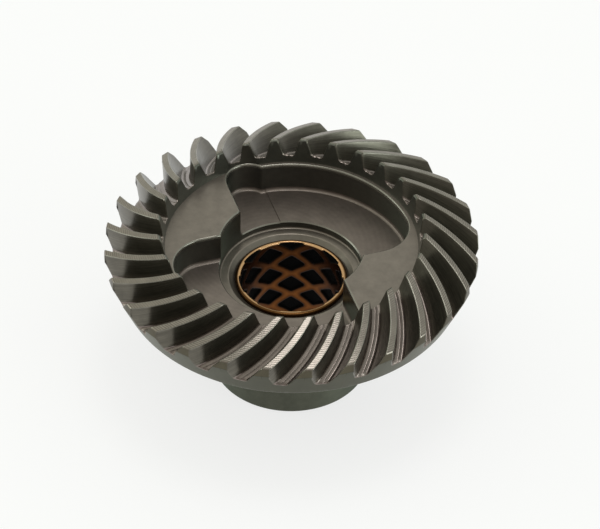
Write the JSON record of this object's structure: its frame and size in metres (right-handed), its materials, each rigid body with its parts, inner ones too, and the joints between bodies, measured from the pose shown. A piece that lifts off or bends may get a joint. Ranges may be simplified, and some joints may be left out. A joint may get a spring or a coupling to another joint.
{
  "type": "spiral bevel gear",
  "caption": "Spiral bevel gear with curved teeth, clutch lugs in a recessed face, a tubular hub for a bearing and a pressed-in bronze bush with diamond grease pockets.",
  "frame": {"origin": "centre of the hub's end face, on which the gear stands", "axes": "+Z along the gear's axis, from the hub's end towards the toothed face"},
  "size_m": [0.1056, 0.1056, 0.0513],
  "materials": {
    "hardened_steel": "hardened and oiled, dark olive grey, bright on ground lands and edges",
    "bush_bronze": "rolled bronze, bright at its rim, brown lands between dark grease pockets"
  },
  "bodies": {
    "root": {"gear": "hardened_steel", "bush": "bush_bronze"}
  },
  "joints": []
}
